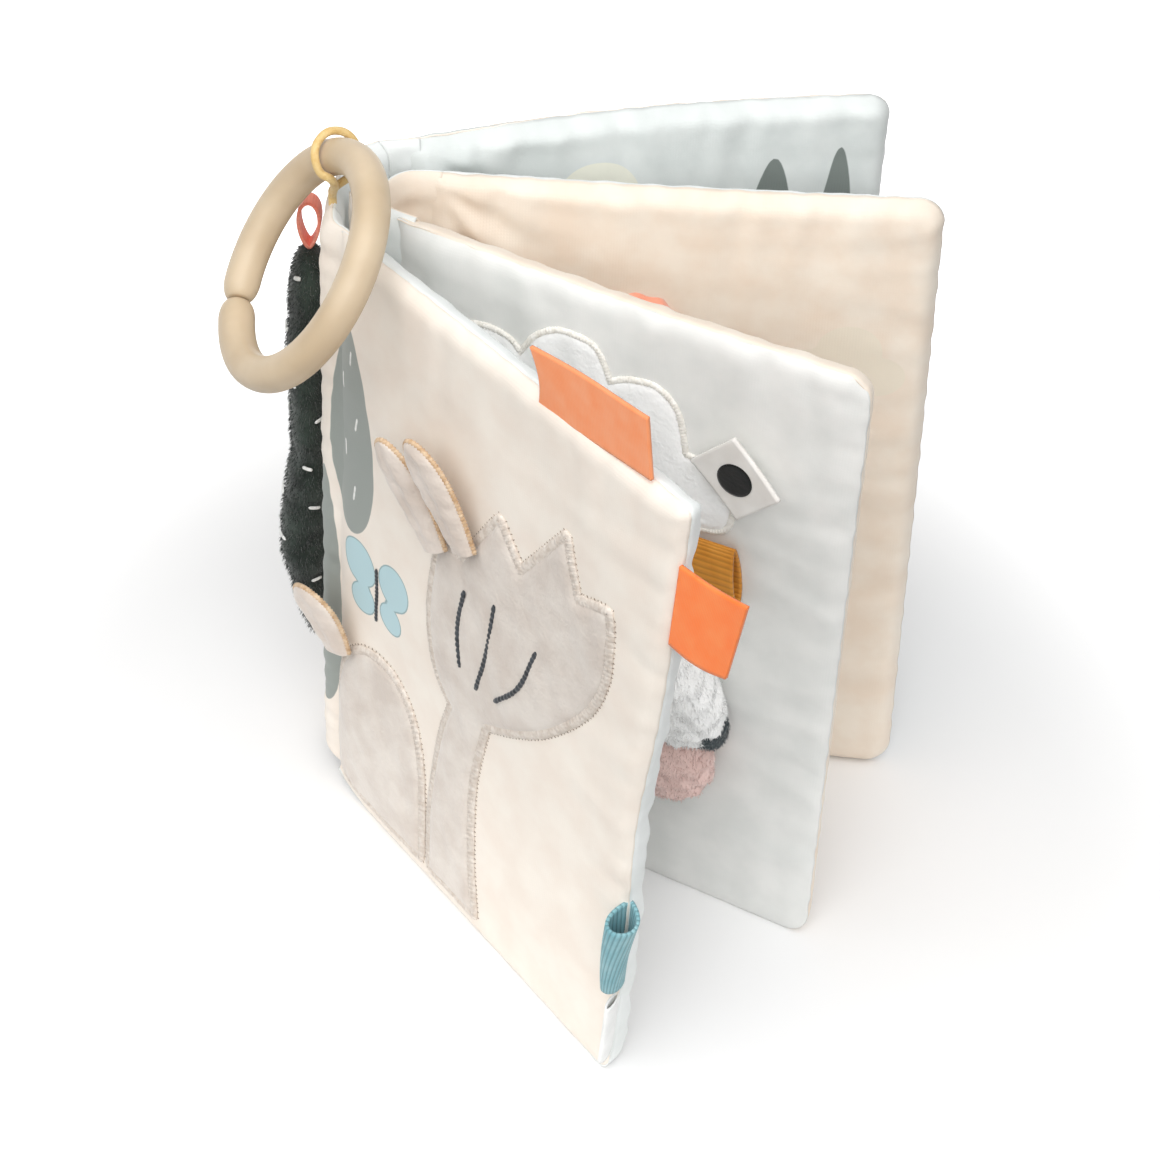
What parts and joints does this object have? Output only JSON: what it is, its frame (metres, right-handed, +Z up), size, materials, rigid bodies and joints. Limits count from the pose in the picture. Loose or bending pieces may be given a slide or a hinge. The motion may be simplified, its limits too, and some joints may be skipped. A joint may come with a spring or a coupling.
{
  "type": "baby activity book",
  "caption": "Soft cloth activity book standing open on its edge: padded covers and pages on a soft spine, with plush, flaps, ribbon loops and a split teething ring.",
  "frame": {"origin": "middle of the overall box, at the height of the lower edges that it stands on", "axes": "+Z up along the spine; the leaves fan out from the spine towards +X, and the front cover is the leaf nearest -Y"},
  "size_m": [0.1672, 0.1858, 0.1902],
  "materials": {
    "cream_cotton": "woven cotton, slightly puckered at its seams",
    "mint_cotton": "pale grey-green woven cotton",
    "peach_cotton": "pale peach woven cotton",
    "greige_plush": "short-pile plush",
    "white_plush": "short-pile plush",
    "dark_green_plush": "short-pile plush",
    "pink_plush": "short-pile plush",
    "grey_plush": "short-pile plush",
    "coral_plush": "short-pile plush",
    "black_felt": "felt",
    "wadding": "polyester wadding",
    "crackle_film": "thin crackling film inside a leaf",
    "ring_silicone": "satin silicone",
    "gold_cord": "thin round elastic cord",
    "orange_satin": "satin ribbon",
    "teal_grosgrain": "ribbed ribbon",
    "mustard_grosgrain": "ribbed ribbon",
    "coral_ribbon": "narrow woven tape",
    "white_satin": "soft white label tape"
  },
  "bodies": {
    "spine": {"spine_outer_cloth": "cream_cotton", "spine_lining": "mint_cotton", "spine_wadding": "wadding", "binding_tape": "cream_cotton", "front_hinge_cloth": "cream_cotton", "front_hinge_lining": "mint_cotton", "back_hinge_cloth": "cream_cotton", "back_hinge_lining": "mint_cotton", "page_fold_cloth": "peach_cotton", "bush_plush": "dark_green_plush"},
    "coral_loop": {"coral_loop": "coral_ribbon"},
    "front_cover": {"front_cover_outer_cloth": "cream_cotton", "front_cover_inner_cloth": "mint_cotton", "front_cover_wadding": "wadding", "front_cover_crackle_film": "crackle_film", "hill_plush": "greige_plush", "tulip_plush": "greige_plush"},
    "petal_left": {"petal_left": "greige_plush"},
    "petal_right": {"petal_right": "greige_plush"},
    "leaf_flap": {"leaf_flap": "greige_plush"},
    "top_tag": {"top_tag": "orange_satin"},
    "side_tag": {"side_tag": "orange_satin"},
    "teal_loop": {"teal_loop": "teal_grosgrain"},
    "care_label": {"care_label": "white_satin"},
    "page_a": {"page_a_outer_cloth": "mint_cotton", "page_a_inner_cloth": "peach_cotton", "page_a_wadding": "wadding", "cloud_patch": "white_plush", "toadstool_cap": "white_plush", "toadstool_stalk": "pink_plush", "toadstool_button": "grey_plush"},
    "spot_flap": {"spot_flap": "white_plush", "flap_spot": "black_felt"},
    "mustard_loop": {"mustard_loop": "mustard_grosgrain"},
    "page_b": {"page_b_outer_cloth": "peach_cotton", "page_b_inner_cloth": "mint_cotton", "page_b_wadding": "wadding", "page_b_crackle_film": "crackle_film", "sun_plush": "coral_plush"},
    "back_cover": {"back_cover_outer_cloth": "mint_cotton", "back_cover_inner_cloth": "cream_cotton", "back_cover_wadding": "wadding"},
    "ring_hanger": {"cord_loop": "gold_cord"},
    "ring": {"teething_ring": "ring_silicone"}
  },
  "joints": [
    {"name": "front_cover_turn", "type": "hinge", "parent": "spine", "child": "front_cover", "pos_m": [-0.05805, 0.02144, 0], "axis": [0, 0, 1], "range_deg": [-90, 8], "deforming": ["front_hinge_cloth", "front_hinge_lining"]},
    {"name": "page_a_turn", "type": "hinge", "parent": "spine", "child": "page_a", "pos_m": [-0.04704, 0.02714, 0], "axis": [0, 0, 1], "range_deg": [-10, 12], "deforming": ["page_fold_cloth"]},
    {"name": "page_b_turn", "type": "hinge", "parent": "spine", "child": "page_b", "pos_m": [-0.04924, 0.04879, 0], "axis": [0, 0, 1], "range_deg": [-12, 50], "deforming": ["back_hinge_cloth", "back_hinge_lining"]},
    {"name": "back_cover_turn", "type": "hinge", "parent": "page_b", "child": "back_cover", "pos_m": [-0.04924, 0.04879, 0], "axis": [0, 0, 1], "range_deg": [-12, 50]},
    {"name": "ring_lift", "type": "hinge", "parent": "spine", "child": "ring_hanger", "pos_m": [-0.05865, 0.03044, 0.174], "axis": [-0.7071, 0.7071, 0], "range_deg": [-7, 72.5], "deforming": ["cord_loop"]},
    {"name": "ring_spin", "type": "hinge", "parent": "ring_hanger", "child": "ring", "pos_m": [-0.06352, 0.00987, 0.1644], "axis": [-0.7874, -0.2571, 0.5603], "continuous": true},
    {"name": "coral_loop_bend", "type": "hinge", "parent": "spine", "child": "coral_loop", "pos_m": [-0.06552, 0.04174, 0.14894], "axis": [0, 1, 0], "range_deg": [-50, 8], "stiffness_Nm_per_rad": 0.004},
    {"name": "petal_left_lift", "type": "hinge", "parent": "front_cover", "child": "petal_left", "pos_m": [-0.03136, -0.02268, 0.1105], "axis": [0.5728, -0.7023, 0.4226], "range_deg": [-5, 80], "stiffness_Nm_per_rad": 0.004},
    {"name": "petal_right_lift", "type": "hinge", "parent": "front_cover", "child": "petal_right", "pos_m": [-0.02438, -0.03124, 0.1173], "axis": [0.5728, -0.7023, 0.4226], "range_deg": [-5, 80], "stiffness_Nm_per_rad": 0.004},
    {"name": "leaf_flap_lift", "type": "hinge", "parent": "front_cover", "child": "leaf_flap", "pos_m": [-0.05624, 0.00783, 0.05134], "axis": [0.5939, -0.7282, 0.342], "range_deg": [-5, 80], "stiffness_Nm_per_rad": 0.004},
    {"name": "top_tag_bend", "type": "hinge", "parent": "front_cover", "child": "top_tag", "pos_m": [-0.00761, -0.04041, 0.1707], "axis": [0.632, -0.7749, 0], "range_deg": [-30, 30], "stiffness_Nm_per_rad": 0.004},
    {"name": "side_tag_bend", "type": "hinge", "parent": "front_cover", "child": "side_tag", "pos_m": [0.02266, -0.07752, 0.13479], "axis": [0, 0, 1], "range_deg": [-40, 40], "stiffness_Nm_per_rad": 0.004},
    {"name": "teal_loop_bend", "type": "hinge", "parent": "front_cover", "child": "teal_loop", "pos_m": [0.02368, -0.07876, 0.02575], "axis": [0, 0, 1], "range_deg": [0, 80], "stiffness_Nm_per_rad": 0.004},
    {"name": "care_label_bend", "type": "hinge", "parent": "front_cover", "child": "care_label", "pos_m": [0.02266, -0.07752, 0.00494], "axis": [0, 0, 1], "range_deg": [-35, 45], "stiffness_Nm_per_rad": 0.004},
    {"name": "spot_flap_lift", "type": "hinge", "parent": "page_a", "child": "spot_flap", "pos_m": [0.03387, -0.02042, 0.13124], "axis": [0.6562, -0.3229, -0.682], "range_deg": [-6, 80], "stiffness_Nm_per_rad": 0.004},
    {"name": "mustard_loop_lift", "type": "hinge", "parent": "page_a", "child": "mustard_loop", "pos_m": [0.02583, -0.01607, 0.11492], "axis": [-0.8973, 0.4415, 0], "range_deg": [0, 80], "stiffness_Nm_per_rad": 0.004}
  ],
  "couplings": [
    {"joint": "ring_lift", "follows": "front_cover_turn", "ratio": -0.8}
  ]
}
